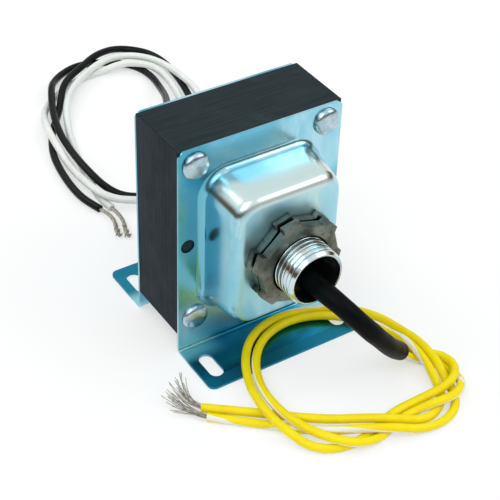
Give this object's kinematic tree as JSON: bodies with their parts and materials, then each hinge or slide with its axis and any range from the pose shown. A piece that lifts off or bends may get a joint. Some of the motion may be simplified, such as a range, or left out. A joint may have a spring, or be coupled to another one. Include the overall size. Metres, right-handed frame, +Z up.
{
  "type": "multi-mount transformer",
  "caption": "Laminated transformer core between drawn steel end covers with slotted feet, threaded hubs, locknuts and flying leads.",
  "frame": {"origin": "middle of the footprint of the transformer without its leads, on the underside of the feet", "axes": "+Z up, -Y along the front hub that the sleeved pair of leads leaves, X across the feet"},
  "size_m": [0.1112, 0.2682, 0.0846],
  "materials": {
    "core_laminations": "black varnish, satin, fine lamination lines",
    "cover_steel": "zinc plated, blue passivated, bright with soft streaks",
    "hub_zinc": "bright zinc plated thread",
    "locknut_zinc": "die-cast zinc, grey brown, rough",
    "rivet_steel": "zinc plated dome heads",
    "bobbin_plastic": "moulded nylon, matte",
    "magnet_wire": "enamelled copper wire",
    "insulation_paper": "insulating paper and tape, matte",
    "splice_sleeving": "insulating sleeving, matte",
    "yellow_insulation": "soft vinyl with a white tracer stripe",
    "black_insulation": "soft black vinyl, satin",
    "white_insulation": "soft white vinyl, satin",
    "sleeve_vinyl": "black vinyl sleeving, satin",
    "bare_conductor": "tinned copper strands, dull"
  },
  "bodies": {
    "root": {"core_e_stack": "core_laminations", "core_i_stack": "core_laminations", "front_cover": "cover_steel", "rear_cover": "cover_steel", "front_hub": "hub_zinc", "rear_hub": "hub_zinc", "front_inner_locknut": "locknut_zinc", "front_outer_locknut": "locknut_zinc", "rear_inner_locknut": "locknut_zinc", "rear_outer_locknut": "locknut_zinc", "rivet_top_left": "rivet_steel", "rivet_top_right": "rivet_steel", "rivet_bottom_left": "rivet_steel", "rivet_bottom_right": "rivet_steel", "bobbin": "bobbin_plastic", "primary_winding": "magnet_wire", "secondary_winding": "magnet_wire", "winding_barrier": "insulation_paper", "coil_wrap": "insulation_paper", "front_lead_pad": "insulation_paper", "rear_lead_pad": "insulation_paper", "front_splice_left": "splice_sleeving", "front_splice_right": "splice_sleeving", "rear_splice_left": "splice_sleeving", "rear_splice_right": "splice_sleeving", "yellow_lead_inner": "yellow_insulation", "yellow_lead_outer": "yellow_insulation", "black_lead": "black_insulation", "white_lead": "white_insulation", "front_sleeve": "sleeve_vinyl", "inner_bare_strands": "bare_conductor", "outer_bare_strands": "bare_conductor", "black_tinned_end": "bare_conductor", "white_tinned_end": "bare_conductor"}
  },
  "joints": []
}
